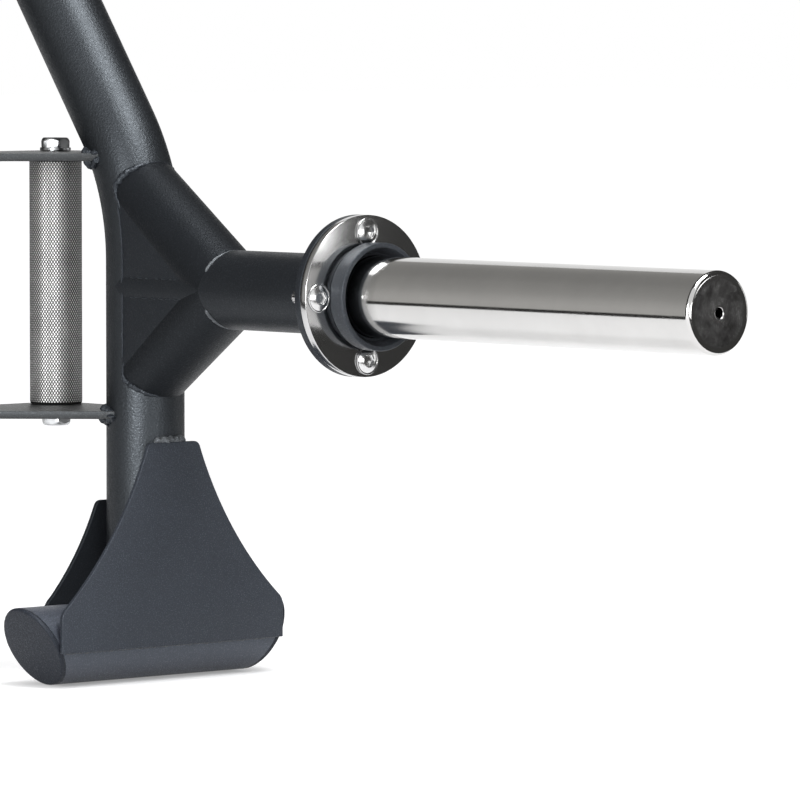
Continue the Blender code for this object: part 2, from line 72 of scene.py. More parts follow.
# Flanges, screws, sleeve and ring, heights from the flange face
FLANGE_R = 0.050
FLANGE_THICK = 0.005
FLANGE_FACE = 0.212
FLANGE_EDGE = 0.0005
TURNED_AROUND = 160
SEAM = 0.0003
STUB_END = FLANGE_FACE - 2 * FLANGE_THICK - 2 * SEAM
SCREW_CIRCLE = 0.0395
SCREW_HEAD = 0.0028
SCREW_HEAD_R = 0.0078
SCREW_RIM = 0.0007
SCREW_CROWN_R = 0.0044
SCREW_WASHER_R = 0.0088
SCREW_WASHER_HIGH = 0.0010
SOCKET_FLATS = 0.0062
SOCKET_FLOOR = 0.0008
THREAD_END = 0.0115
THREAD_R = 0.0042
FASTENER_AROUND = 48
SLEEVE_R = 0.025
SLEEVE_LONG = 0.308
SLEEVE_LIP = 0.003
PLUG_R = 0.020
PLUG_LONG = 0.008
PLUG_HOLE_R = 0.00325
# Heights above the flange's face over which the painted shade at the sleeve's root fades out
SLEEVE_ROOT_SHADE = (0.012, 0.040)
RING_R = 0.0333
RING_HIGH = 0.0145
RING_RIM = 0.003
RING_NECK_R = 0.0305
RING_NECK_HIGH = 0.0043
RING_BORE_R = 0.0253
RING_FLOOR_R = 0.0272
RING_FLOOR_HIGH = 0.0076
RING_STEP = 0.0007
# Handles and their plates
HANDLE_R = 0.017
HANDLE_HALF = 0.079
HANDLE_IN = 0.090
HANDLE_PITCH = 0.085
KNURL_COLUMNS = 112
KNURL_ROWS = 106
KNURL_DEPTH = 0.00018
KNURL_BAND = 0.0016
KNURL_EDGE = 0.0006
PLATE_THICK = 0.005
PLATE_ROUND_R = 0.021
PLATE_REAR = 0.024
PLATE_BEAD_R = 0.0030
WASHER_R = 0.0100
WASHER_HIGH = 0.0023
BOLT_FLATS = 0.017
BOLT_HIGH = 0.0087
BOLT_CROWN_R = 0.0075
# Feet, heights from the floor
FOOT_R = 0.025
FOOT_AXIS = FOOT_R - SLEEVE_Z
FOOT_HALF = 0.0935
FOOT_RAKE = 0.5
CAP_THICK = 0.003
CAP_EDGE = 0.0028
CAP_SEAM_R = 0.0006
FOOT_PLATE_THICK = 0.003
FOOT_BOTTOM = 0.022
FOOT_SHOULDER = 0.047
OUTER_PLATE = {"half": 0.0915, "peak": (0.0205, 0.1515), "curve": 0.250}
INNER_PLATE = {"half": 0.0615, "peak": (0.0185, 0.1125), "curve": 0.186}
PEAK_BEAD_R = 0.0029
SKIRT_BEAD_R = 0.0007
# Half sizes of the feet's print on the floor, round which the floor's painted shadow lies
FOOT_SHADOW_PRINT = (0.010, 0.070)
# Weld beads: step along one, sides round it
BEAD_STEP = 0.0006
BEAD_AROUND = 10
# Studio: floor, tent, arches about the sleeves' axis, cards on the floor
FLOOR_Z = -0.0006
FLOOR_HALF = 20
TENT_R = 3.2
ARCH_R = 0.9
ARCH_SPAN = (-0.44, 0.30)
CARD_Z = 0.001
CAMERA_PLACE = (SIDE_X + 3.390, -2.834, SLEEVE_Z + 0.184)
CAMERA_LENS = 312.2


# ---------------------------------------------------------------- shader maths
class Value:
    """A number socket that can be used in Python expressions."""

    def __init__(self, tree, socket):
        self.tree = tree
        self.socket = socket

    def _math(self, operation, *others):
        node = self.tree.nodes.new("ShaderNodeMath")
        node.operation = operation
        for place, item in enumerate((self, *others)):
            if isinstance(item, Value):
                self.tree.links.new(item.socket, node.inputs[place])
            else:
                node.inputs[place].default_value = item
        return Value(self.tree, node.outputs[0])

    def __add__(self, other):
        return self._math("ADD", other)

    def __mul__(self, other):
        return self._math("MULTIPLY", other)

    def __sub__(self, other):
        return self._math("SUBTRACT", other)

    def __rsub__(self, other):
        return self._math("MULTIPLY", -1.0)._math("ADD", other)

    __radd__ = __add__
    __rmul__ = __mul__

    def power(self, other):
        """This number to a power."""
        return self._math("POWER", other)

    def size(self):
        """The number without its sign."""
        return self._math("ABSOLUTE")

    def clip(self, low, high):
        """Held between two bounds."""
        return self._math("MAXIMUM", low)._math("MINIMUM", high)

    def steps(self, low, high):
        """0 below low, 1 above high and straight between them."""
        return ((self - low) * (1 / (high - low))).clip(0.0, 1.0)


class Look:
    """A material or world under construction."""

    def __init__(self, owner):
        owner.use_nodes = True
        self.owner = owner
        self.tree = owner.node_tree
        self.tree.nodes.clear()

    def node(self, kind, settings=None, **inputs):
        """Make a node: its settings first, then values or links for its sockets."""
        made = self.tree.nodes.new(kind)
        for key, value in (settings or {}).items():
            setattr(made, key, value)
        for key, value in inputs.items():
            wanted = key.replace("_", " ").lower()
            socket = next(s for s in made.inputs if s.enabled and s.name.lower() == wanted)
            if isinstance(value, Value):
                self.tree.links.new(value.socket, socket)
            elif isinstance(value, bpy.types.NodeSocket):
                self.tree.links.new(value, socket)
            else:
                socket.default_value = value
        return made

    def value(self, made, output=0):
        """A node's output as a number."""
        return Value(self.tree, made.outputs[output])

    def place(self):
        """Object coordinates."""
        return self.node("ShaderNodeTexCoord").outputs["Object"]

    def stretched(self, place, scale):
        """Coordinates multiplied by three factors."""
        made = self.node("ShaderNodeVectorMath", {"operation": "MULTIPLY"})
        self.tree.links.new(place, made.inputs[0])
        made.inputs[1].default_value = scale
        return made.outputs[0]

    def noise(self, place, scale, detail, roughness=0.5):
        """Noise in three dimensions, a number about one half."""
        return self.value(self.node("ShaderNodeTexNoise", {"noise_dimensions": "3D"}, Vector=place, Scale=scale,
                                    Detail=detail, Roughness=roughness))

    def tint(self, factor, first, second):
        """A colour that runs from one to another with a number."""
        made = self.tree.nodes.new("ShaderNodeMix")
        made.data_type = "RGBA"
        self.tree.links.new(factor.socket, made.inputs["Factor"])
        for socket, colour in zip([s for s in made.inputs if s.type == "RGBA"], (first, second)):
            if isinstance(colour, bpy.types.NodeSocket):
                self.tree.links.new(colour, socket)
            else:
                socket.default_value = (*colour, 1)
        return next(s for s in made.outputs if s.type == "RGBA")

    def bump(self, height, distance, strength):
        """A normal that follows a height."""
        return self.node("ShaderNodeBump", Height=height, Distance=distance, Strength=strength).outputs[0]

    def seen_directly(self):
        """1 for rays from the camera or off the chrome, 0 for the light between surfaces."""
        rays = self.node("ShaderNodeLightPath")
        return (self.value(rays, "Is Camera Ray") + self.value(rays, "Is Glossy Ray")
                + self.value(rays, "Is Transmission Ray")).clip(0, 1)

    def finish(self, shader):
        """Join a shader to the output and hand back the material."""
        output = self.node("ShaderNodeOutputMaterial")
        self.tree.links.new(shader.outputs[0], output.inputs["Surface"])
        return self.owner


def powder_coat(name, colour, roughness, grain=1.0, sheen=0.40, fleck=0.5):
    """Dark fine textured powder coat: a close orange peel, sparse bright grains and faint clouding.

    grain scales the texture's height, sheen the reflection and fleck the bright grains."""
    look = Look(bpy.data.materials.new(name))
    place = look.place()
    clouds = look.noise(place, 26.0, 3.0)
    peel = look.noise(place, 640.0, 2.0, 0.6)
    grit = look.noise(place, 1250.0, 1.0)
    spark = grit.steps(0.56, 0.68)
    shade = (0.84 + clouds * 0.32) * (0.90 + peel * 0.20)
    dark = look.tint(shade.steps(0.75, 1.30), [part * 0.80 for part in colour], [part * 1.18 for part in colour])
    base = look.tint(spark * fleck, dark, [min(part * 3.0 + 0.005, 1) for part in colour])
    rough = (roughness - 0.05 + clouds * 0.10 + peel * 0.16 - spark * 0.16).clip(0.05, 1.0)
    normal = look.bump(peel * 0.7 + grit * 0.3, 0.00035 * grain, 0.55)
    shader = look.node("ShaderNodeBsdfPrincipled", Base_Color=base, Roughness=rough, Normal=normal)
    shader.inputs["Specular IOR Level"].default_value = sheen
    shader.inputs["Specular Tint"].default_value = (0.82, 0.91, 1.0, 1.0)
    return look.finish(shader)


def chrome(name, colour, roughness, depth, brushed=(1.0, 1.0, 1.0), painted_root_shade=None):
    """Bright plated metal with fine machining lines and a few smudges.

    brushed draws the lines out along an axis. The last argument gives two heights above the
    flange's face between which a painted shade, the collar ring's shadow and the dark reflection
    of its inside, fades out to the plating's full brightness."""
    look = Look(bpy.data.materials.new(name))
    place = look.place()
    lines = look.noise(look.stretched(place, brushed), 900.0, 3.0, 0.6)
    smudge = look.noise(place, 38.0, 3.0, 0.6)
    spots = look.noise(place, 330.0, 2.0).steps(0.62, 0.75)
    rough = (roughness * (0.75 + smudge * 0.5) + spots * 0.03).clip(0.02, 1.0)
    base = look.tint(smudge * 0.35, colour, [part * 0.62 for part in colour])
    if painted_root_shade:
        # Painted shade at the sleeve's root: near black by the flange, fading out to the plating's own colour
        height = look.value(look.node("ShaderNodeSeparateXYZ", Vector=place), "X").size() - SIDE_X - FLANGE_FACE
        base = look.tint((height + smudge * 0.008).steps(*painted_root_shade), (0.05, 0.05, 0.05), base)
    normal = look.bump(lines, depth, 0.35)
    shader = look.node("ShaderNodeBsdfPrincipled", Base_Color=base, Roughness=rough, Normal=normal, Metallic=1.0)
    return look.finish(shader)


def knurl_chrome(name, groove, tip, roughness):
    """Plated knurl: the mesh's own crest value runs the colour from a painted shade, near black, in the grooves to
    bright chrome on the tips.
    """
    look = Look(bpy.data.materials.new(name))
    crest = look.value(look.node("ShaderNodeAttribute", {"attribute_name": "crest"}), "Fac")
    wear = look.noise(look.place(), 60.0, 3.0, 0.6)
    # Painted shade: the grooves between the diamonds are coloured near black, the tips bright
    base = look.tint((crest * 1.7 + wear * 0.3 - 0.40).clip(0.0, 1.0), groove, tip)
    rough = (roughness + 0.15 - crest * 0.15 + wear * 0.06).clip(0.05, 1.0)
    normal = look.bump(look.noise(look.place(), 1500.0, 2.0), 0.00002, 0.35)
    shader = look.node("ShaderNodeBsdfPrincipled", Base_Color=base, Roughness=rough, Normal=normal, Metallic=0.8)
    return look.finish(shader)


def turned_chrome(name, colour, roughness, depth):
    """Plated disc with the turning lathe's rings: noise of the distance from the sleeve's axis."""
    look = Look(bpy.data.materials.new(name))
    place = look.place()
    split = look.node("ShaderNodeSeparateXYZ", Vector=place)
    height = look.value(split, "Z") - SLEEVE_Z
    radius = (look.value(split, "Y").power(2.0) + height * height).power(0.5)
    rings = look.noise(look.node("ShaderNodeCombineXYZ", X=radius).outputs[0], 480.0, 1.0, 0.5)
    smudge = look.noise(place, 45.0, 3.0, 0.6)
    base = look.tint(smudge, colour, [part * 0.7 for part in colour])
    rough = (roughness * (0.7 + smudge * 0.6) + rings * 0.05).clip(0.03, 1.0)
    shader = look.node("ShaderNodeBsdfPrincipled", Base_Color=base, Roughness=rough,
                       Normal=look.bump(rings, depth, 0.2), Metallic=1.0)
    return look.finish(shader)


def blotched_steel(name, dark, light, roughness):
    """Plated end face with grey blotches: a broad and a fine noise added."""
    look = Look(bpy.data.materials.new(name))
    place = look.place()
    broad = look.noise(place, 95.0, 4.0, 0.6)
    fine = look.noise(place, 420.0, 3.0, 0.6)
    blotch = (broad * 1.7 + fine * 0.7 - 0.75).clip(0.0, 1.0)
    base = look.tint(blotch, dark, light)
    rough = (roughness + blotch * 0.10).clip(0.05, 1.0)
    shader = look.node("ShaderNodeBsdfPrincipled", Base_Color=base, Roughness=rough,
                       Normal=look.bump(fine, 0.00002, 0.3), Metallic=1.0)
    return look.finish(shader)


# ---------------------------------------------------------------- meshes
def grid_quads(rows, columns, around=True, along=False):
    """Quads of a grid of points, row by row.

    Row i, column j joins (i, j), (i, j+1), (i+1, j+1), (i+1, j); columns wrap
    when the grid closes around, rows wrap when it closes along."""
    i, j = np.meshgrid(np.arange(rows if along else rows - 1), np.arange(columns if around else columns - 1),
                       indexing="ij")
    i, j = i.ravel(), j.ravel()
    a, b = (i + 1) % rows, (j + 1) % columns
    return np.stack([i * columns + j, i * columns + b, a * columns + b, a * columns + j], 1)


def closed_skin(rings, along=False):
    """Points and faces of a tube of rings, its two ends closed by fans to their centres."""
    rows, columns = rings.shape[:2]
    faces = grid_quads(rows, columns, True, along).tolist()
    points = rings.reshape(-1, 3)
    if along:
        return points, faces
    poles = np.stack([rings[0].mean(0), rings[-1].mean(0)])
    first, last = len(points), len(points) + 1
    j = np.arange(columns)
    k = (j + 1) % columns
    low = np.stack([k, j, np.full(columns, first)], 1)
    high = np.stack([j, k, np.full(columns, last - (rows - 1) * columns)], 1) + (rows - 1) * columns
    return np.concatenate([points, poles]), faces + low.tolist() + high.tolist()


def volume(points, faces):
    """Signed volume: a sixth of the sum of a . (b x c) over a fan of triangles per face."""
    total = 0.0
    for size in {len(face) for face in faces}:
        corner = points[np.array([face for face in faces if len(face) == size])]
        for at in range(1, size - 1):
            total += np.einsum("ij,ij->", corner[:, 0], np.cross(corner[:, at], corner[:, at + 1])) / 6
    return total


def piece(name, shells, look, nodes=(), smooth=35.0):
    """One object from one or more closed shells, facing outwards and riding on the bar."""
    points, faces, base = [], [], 0
    for shell_points, shell_faces in shells:
        if volume(shell_points, shell_faces) < 0:
            shell_faces = [face[::-1] for face in shell_faces]
        points.append(shell_points)
        faces += [[corner + base for corner in face] for face in shell_faces]
        base += len(shell_points)
    data = bpy.data.meshes.new(name)
    data.from_pydata(np.concatenate(points).tolist(), [], faces)
    data.update()
    if smooth:
        data.shade_smooth()
        data.set_sharp_from_angle(angle=math.radians(smooth))
    data.materials.append(look)
    made = bpy.data.objects.new(name, data)
    bpy.context.scene.collection.objects.link(made)
    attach(made, "root")
    if nodes:
        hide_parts(*nodes)
    return made


def set_side(side, shell):
    """Carry local (outward, y, up) points to the right (1) or left (-1) side."""
    points, faces = shell
    return points * [side, 1, 1] + [side * SIDE_X, 0, SLEEVE_Z], faces


def circle(count):
    """Angles of a closed ring."""
    return np.arange(count) * (2 * math.pi / count)


def square_on(way):
    """Two unit vectors square to a direction and to each other."""
    way = np.asarray(way, float) / np.linalg.norm(way)
    aside = np.cross(way, (0, 1, 0) if abs(way[1]) < 0.9 else (1, 0, 0))
    aside /= np.linalg.norm(aside)
    return aside, np.cross(way, aside)


def rod(first, last, radius, end_radius=None):
    """Cylinder or taper: centre line plus radius times (cos t, sin t) in the plane square to it."""
    first, last = np.asarray(first, float), np.asarray(last, float)
    one, two = square_on(last - first)
    turn = circle(TUBE_AROUND)[None, :, None]
    along = np.array([0.0, 1.0])[:, None, None]
    line = first + (last - first) * along
    radius = radius + ((end_radius or radius) - radius) * along
    return closed_skin(line + radius * (np.cos(turn) * one + np.sin(turn) * two))


def lathe(profile, start, along=False, around=TURNED_AROUND):
    """Turned shape: each (radius, height) of the profile makes a ring about the sleeve's axis."""
    profile = np.asarray(profile, float)
    axis = np.array([1.0, 0.0, 0.0])
    one, two = square_on(axis)
    turn = circle(around)[None, :, None]
    rings = ((start + profile[:, 1, None, None]) * axis
             + profile[:, 0, None, None] * (np.cos(turn) * one + np.sin(turn) * two))
    return closed_skin(rings, along)


def arc(centre, radius, first, last, steps):
    """Points (centre + radius (cos t, sin t)) with t going evenly from first to last."""
    turn = np.linspace(first, last, steps + 1)
    return np.stack([centre[0] + radius * np.cos(turn), centre[1] + radius * np.sin(turn)], 1)


def eased(corners, closed=False, steps=4):
    """Round the corners of a profile given as (radius, height, rounding) rows.

    Each corner with a rounding gives a quadratic curve (1-t)^2 a + 2t(1-t) c + t^2 b
    between points a and b set back from the corner c along its two edges."""
    corners = [np.array(row, float) for row in corners]
    count = len(corners)
    out = []
    for at, row in enumerate(corners):
        if row[2] == 0 or (not closed and at in (0, count - 1)):
            out.append(row[None, :2])
            continue
        before = corners[at - 1][:2] - row[:2]
        after = corners[(at + 1) % count][:2] - row[:2]
        a = row[:2] + before / np.linalg.norm(before) * row[2]
        b = row[:2] + after / np.linalg.norm(after) * row[2]
        t = np.linspace(0, 1, steps + 1)[:, None]
        out.append((1 - t) ** 2 * a + 2 * t * (1 - t) * row[:2] + t ** 2 * b)
    return np.concatenate(out)


def turned_rings(rings, origin, axis):
    """Shell whose rings have a radius that varies with the angle.

    rings holds (height, radius) rows, the radius a number or an array over the
    ring. A point is origin + height axis + radius (cos t, sin t)."""
    one, two = square_on(axis)
    turn = circle(FASTENER_AROUND)[:, None]
    shape = np.cos(turn) * one + np.sin(turn) * two
    made = [np.array(origin) + height * np.array(axis) + np.broadcast_to(radius, FASTENER_AROUND)[:, None] * shape
            for height, radius in rings]
    return closed_skin(np.stack(made))


def hexagon(flats):
    """Radius of a hexagon over the ring: half the flats over cos of the angle to the nearest flat."""
    turn = circle(FASTENER_AROUND)
    return flats / 2 / np.cos((turn + math.pi / 6) % (math.pi / 3) - math.pi / 6)


def plate(outline, thickness, edge):
    """Flat plate in its own plane, centred on height 0, with rounded edges.

    Rings of the outline are set in by edge (1 - cos a) along the outline's
    normals while the height follows half thickness - edge (1 - sin a)."""
    outline = np.asarray(outline, float)
    ahead = np.roll(outline, -1, 0) - outline
    behind = outline - np.roll(outline, 1, 0)
    ahead /= np.linalg.norm(ahead, axis=1)[:, None]
    behind /= np.linalg.norm(behind, axis=1)[:, None]
    middle = ahead + behind
    middle /= np.linalg.norm(middle, axis=1)[:, None]
    inward = np.stack([-middle[:, 1], middle[:, 0]], 1)
    area = np.sum(outline[:, 0] * np.roll(outline[:, 1], -1) - np.roll(outline[:, 0], -1) * outline[:, 1])
    if area < 0:
        inward = -inward
    spread = 1 / np.maximum(np.einsum("ij,ij->i", middle, ahead), 0.5)
    rings = []
    for turn in np.linspace(0, math.pi, 9):
        set_in = edge * (1 - math.sin(turn)) * spread
        height = (thickness / 2 - edge) * (1 if turn <= math.pi / 2 else -1) + edge * math.cos(turn)
        flat = outline + inward * set_in[:, None]
        rings.append(np.concatenate([flat, np.full((len(flat), 1), height)], 1))
    rings = np.stack(rings)
    count = len(outline)
    faces = grid_quads(len(rings), count).tolist()
    faces.append(list(range(count))[::-1])
    faces.append(list(range((len(rings) - 1) * count, len(rings) * count)))
    return rings.reshape(-1, 3), faces


def turned_about(shell, order, offset):
    """Reorder a flat shell's axes, then move it."""
    points, faces = shell
    return points[:, order] + np.asarray(offset, float), faces


def wobble(length, seed, waves, size):
    """Smooth noise along a length: a sum of sines with seeded phases and uneven wavelengths."""
    rng = np.random.default_rng(seed)
    phase = rng.uniform(0, 2 * math.pi, len(waves))
    gain = rng.uniform(0.5, 1.0, len(waves))
    return size * sum(g * np.sin(2 * math.pi * length / wave + p) for g, wave, p in zip(gain, waves, phase))


def bead(path, radius, lift, seed, closed=False, ripple=0.0024, rough=0.18):
    """Weld bead: a round section carried along a path.

    The section's radius is radius (1 + a ripple like stacked coins + noise) and
    its centre moves by smooth noise along the direction given by lift. The
    radius may be one number or one for each point of the path."""
    path = np.asarray(path, float)
    radius = np.broadcast_to(np.asarray(radius, float), len(path))
    lift = np.broadcast_to(np.asarray(lift, float), path.shape)
    if closed:
        path = np.concatenate([path, path[:1]])
        lift = np.concatenate([lift, lift[:1]])
        radius = np.concatenate([radius, radius[:1]])
    step = np.linalg.norm(np.diff(path, axis=0), axis=1)
    gone = np.concatenate([[0], np.cumsum(step)])
    count = max(int(gone[-1] / BEAD_STEP), 8)
    at = np.linspace(0, gone[-1], count, endpoint=not closed)
    line = np.stack([np.interp(at, gone, path[:, k]) for k in range(3)], 1)
    normal = np.stack([np.interp(at, gone, lift[:, k]) for k in range(3)], 1)
    radius = np.interp(at, gone, radius)
    ahead = np.gradient(line, axis=0)
    if closed:
        ahead = np.roll(line, -1, 0) - np.roll(line, 1, 0)
    ahead /= np.linalg.norm(ahead, axis=1)[:, None]
    normal -= np.einsum("ij,ij->i", normal, ahead)[:, None] * ahead
    normal /= np.linalg.norm(normal, axis=1)[:, None]
    aside = np.cross(ahead, normal)
    fade = np.ones(count) if closed else np.clip(np.minimum(at, gone[-1] - at) / radius, 0.05, 1) ** 0.5
    wave = 1 + 0.05 * np.sin(2 * math.pi * at / ripple + wobble(at, seed, (0.013, 0.021), 0.6))
    wave = wave + wobble(at, seed + 1, (0.0037, 0.0061, 0.011), rough * 0.5)
    size = (radius * wave * fade)[:, None, None]
    line = line + normal * (radius * wobble(at, seed + 2, (0.005, 0.009), rough))[:, None]
    line = line + aside * (radius * wobble(at, seed + 3, (0.007, 0.016), rough))[:, None]
    turn = circle(BEAD_AROUND)[None, :, None]
    rings = line[:, None] + size * (np.cos(turn) * normal[:, None] + np.sin(turn) * aside[:, None])
    return closed_skin(rings, closed)


# ---------------------------------------------------------------- the bar's lines
def centre_line():
    """Half of the frame's centreline as (outward, up), from the foot to the middle of the top."""
    foot = np.array([[0.0, FOOT_AXIS]])
    knee = arc((-BEND_R, BEND_START), BEND_R, 0, LEAN, BEND_STEPS)
    rest = math.pi / 2 - LEAN
    end = knee[-1]
    reach = (CROSSBAR_RISE - end[1]) / math.cos(LEAN)
    turn_x = end[0] - reach * math.sin(LEAN) - BEND_R * math.tan(rest / 2)
    shoulder = arc((turn_x, CROSSBAR_RISE - BEND_R), BEND_R, LEAN, math.pi / 2, BEND_STEPS * 3 // 2)
    middle = np.array([[-SIDE_X, CROSSBAR_RISE]])
    return np.concatenate([foot, knee, shoulder, middle])


def inset(height):
    """How far inwards the frame's centreline is at a height above the sleeve axis."""
    line = centre_line()
    return -float(np.interp(height, line[:, 1], line[:, 0]))


def from_line(points, line):
    """Distance of points from a polyline in the plane y = 0, the least over its segments."""
    first = np.stack([line[:-1, 0], np.zeros(len(line) - 1), line[:-1, 1]], 1)
    way = np.stack([np.diff(line[:, 0]), np.zeros(len(line) - 1), np.diff(line[:, 1])], 1)
    gap = points[:, None] - first[None]
    part = np.clip(np.einsum("nmk,mk->nm", gap, way) / np.einsum("mk,mk->m", way, way), 0, 1)
    return np.linalg.norm(gap - part[..., None] * way, axis=2).min(1)


def crossing(start, way, reach, line):
    """Where rays from start along way meet the tube round a polyline, by halving the span 40 times."""
    low, high = np.zeros(len(start)), np.full(len(start), reach)
    for _ in range(40):
        middle = (low + high) / 2
        outside = from_line(start + way * middle[:, None], line) > TUBE_R
        low, high = np.where(outside, middle, low), np.where(outside, high, middle)
    return start + way * low[:, None]


def brace_top():
    """Upper brace's far end, on the bend's centreline, as (outward, up)."""
    foot = np.array([BRACE_OUT, 0.0])
    way = np.array([-BRACE_OUT, BRACE_RISE]) / math.hypot(BRACE_OUT, BRACE_RISE)
    centre = np.array([-BEND_R, BEND_START])
    along = (foot - centre) @ way
    spare = (foot - centre) @ (foot - centre) - BEND_R ** 2
    return foot + way * (-along - math.sqrt(along ** 2 - spare))


def plate_outline(height):
    """Handle plate's outline as (outward, y): round the two handles, slanting back to the upright."""
    tube = -inset(height)
    raised = np.array([-HANDLE_IN, -HANDLE_PITCH])
    back = np.array([tube, -PLATE_REAR]) - raised
    slope = math.atan2(back[1], back[0]) - math.acos(PLATE_ROUND_R / np.linalg.norm(back))
    return np.concatenate([[[tube, PLATE_ROUND_R]],
                           arc((-HANDLE_IN, 0), PLATE_ROUND_R, math.pi / 2, math.pi, 16),
                           arc(raised, PLATE_ROUND_R, math.pi, slope + 2 * math.pi, 24),
                           [[tube, -PLATE_REAR]]])


def bell_outline(half, peak, curve):
    """Foot plate's outline as (y, z): straight skirt, hollow flank of one radius, flat top."""
    shoulder = np.array([half, FOOT_SHOULDER])
    peak = np.array(peak)
    chord = peak - shoulder
    span = np.linalg.norm(chord)
    across = np.array([chord[1], -chord[0]]) / span
    middle = (shoulder + peak) / 2 + across * math.sqrt(curve ** 2 - span ** 2 / 4)
    first = math.atan2(*(shoulder - middle)[::-1])
    last = math.atan2(*(peak - middle)[::-1])
    if abs(last - first) > math.pi:
        last += math.copysign(2 * math.pi, first - last)
    flank = arc(middle, curve, first, last, 20)
    rows = [(half, FOOT_BOTTOM, 0.0)] + [(y, z, 0.0) for y, z in flank]
    rows[1] = (*flank[0], 0.004)
    rows[-1] = (*flank[-1], 0.0038)
    rows.append((0.0, peak[1], 0.0))
    right = eased(rows, steps=6)[:-1]
    return np.concatenate([right, (right * [-1, 1])[::-1]])


def frame_shell():
    """Whole frame tube: rings square to the centreline, which lies in y = 0."""
    right = centre_line() + [SIDE_X, SLEEVE_Z]
    line = np.concatenate([right[:-1], (right[:-1] * [-1, 1])[::-1]])
    ahead = np.gradient(line, axis=0)
    ahead /= np.linalg.norm(ahead, axis=1)[:, None]
    ahead[0], ahead[-1] = (0, 1), (0, -1)
    outward = np.stack([ahead[:, 1], np.zeros(len(line)), -ahead[:, 0]], 1)[:, None]
    centre = np.stack([line[:, 0], np.zeros(len(line)), line[:, 1]], 1)[:, None]
    turn = circle(TUBE_AROUND)[None, :, None]
    return closed_skin(centre + TUBE_R * (np.cos(turn) * outward + np.sin(turn) * np.array([0, 1, 0])))


def foot_tube(half):
    """Foot tube along y whose ends slope outwards with height: y = -(half + rake z) and half + rake z."""
    turn = circle(TUBE_AROUND)
    x, z = FOOT_R * np.cos(turn), FOOT_R * np.sin(turn)
    return closed_skin(np.stack([np.stack([x, back * (half + FOOT_RAKE * z), z + FOOT_AXIS], 1) for back in (-1, 1)]))


def cap_shell(back, inner, outer, edge):
    """Raked foot cap with a rounded outer edge, rounder on top.

    The section's radius is foot radius - edge (1 - cos a) while it reaches to
    outer - edge (1 - sin a), and every ring leans with the rake. The edge runs
    from a third at the sides and below to the whole of it on top."""
    turn = circle(TUBE_AROUND)
    edge = edge * (0.35 + 0.65 * np.maximum(np.sin(turn), 0))
    rings = []
    for reach, radius in [(inner, FOOT_R)] + [(outer - edge * (1 - math.sin(a)), FOOT_R - edge * (1 - math.cos(a)))
                                              for a in np.linspace(0, math.pi / 2, 9)]:
        x, z = radius * np.cos(turn), radius * np.sin(turn)
        rings.append(np.stack([x, back * (reach + FOOT_RAKE * z), z + FOOT_AXIS], 1))
    return closed_skin(np.stack(rings))


def knurled(x, y):
    """Knurled grip: four sided pyramids on a diamond net.

    On a grid of half cells the radius is high where row + column is odd and low
    where it is even, and each cell is split along its low corners. Plain bands
    close both ends. The last value is each point's height, 0 in a groove, 1 on a tip."""
    low = HANDLE_R - KNURL_DEPTH
    heights = np.linspace(-HANDLE_HALF + KNURL_BAND, HANDLE_HALF - KNURL_BAND, KNURL_ROWS + 1)
    i, j = np.meshgrid(np.arange(KNURL_ROWS + 1), np.arange(KNURL_COLUMNS), indexing="ij")
    radius = np.where((i + j) % 2 == 1, HANDLE_R, low)
    plain = np.full((2, KNURL_COLUMNS), low)
    shape = np.concatenate([plain, radius, plain])
    band_in = HANDLE_HALF - KNURL_BAND * 0.8
    level = np.concatenate([[-HANDLE_HALF, -band_in], heights, [band_in, HANDLE_HALF]])
    shape[0] = shape[-1] = low - KNURL_EDGE
    turn = circle(KNURL_COLUMNS)
    rings = np.stack([x + shape * np.cos(turn), y + shape * np.sin(turn),
                      np.broadcast_to(level[:, None], shape.shape)], 2)
    points, faces = closed_skin(rings)
    quads = np.array(faces[:(len(level) - 1) * KNURL_COLUMNS])
    row, column = np.divmod(np.arange(len(quads)), KNURL_COLUMNS)
    even = (row + column) % 2 == 0
    one = np.where(even[:, None], quads[:, [0, 1, 2]], quads[:, [0, 1, 3]])
    two = np.where(even[:, None], quads[:, [0, 2, 3]], quads[:, [1, 2, 3]])
    crest = np.append((shape.ravel() - low) / KNURL_DEPTH, [0.0, 0.0])
    return points, one.tolist() + two.tolist() + faces[len(quads):], crest


def bolt_shell(x, y, z, up):
    """Washer and chamfered hex head: the head's radius is the lesser of hexagon and chamfer cone."""
    hexed = hexagon(BOLT_FLATS)
    hub, dip = 0.0005, 0.0003
    rings = [(SEAM, hub), (SEAM, WASHER_R - 0.0004), (2 * SEAM, WASHER_R), (WASHER_HIGH - 0.0003, WASHER_R),
             (WASHER_HIGH, WASHER_R - 0.0003),
             (WASHER_HIGH, np.minimum(hexed, 0.0093)), (WASHER_HIGH + 0.0004, np.minimum(hexed, 0.0097))]
    rings += [(BOLT_HIGH - drop, np.minimum(hexed, BOLT_CROWN_R + 0.0003 + drop * 0.9))
              for drop in (0.0024, 0.0019, 0.0014, 0.0010, 0.0007, 0.0004, 0.0002)]
    rings += [(BOLT_HIGH, np.minimum(hexed, BOLT_CROWN_R)), (BOLT_HIGH - dip, 0.0064), (BOLT_HIGH - dip, hub)]
    return turned_rings(rings, (x, y, z), (0, 0, up))


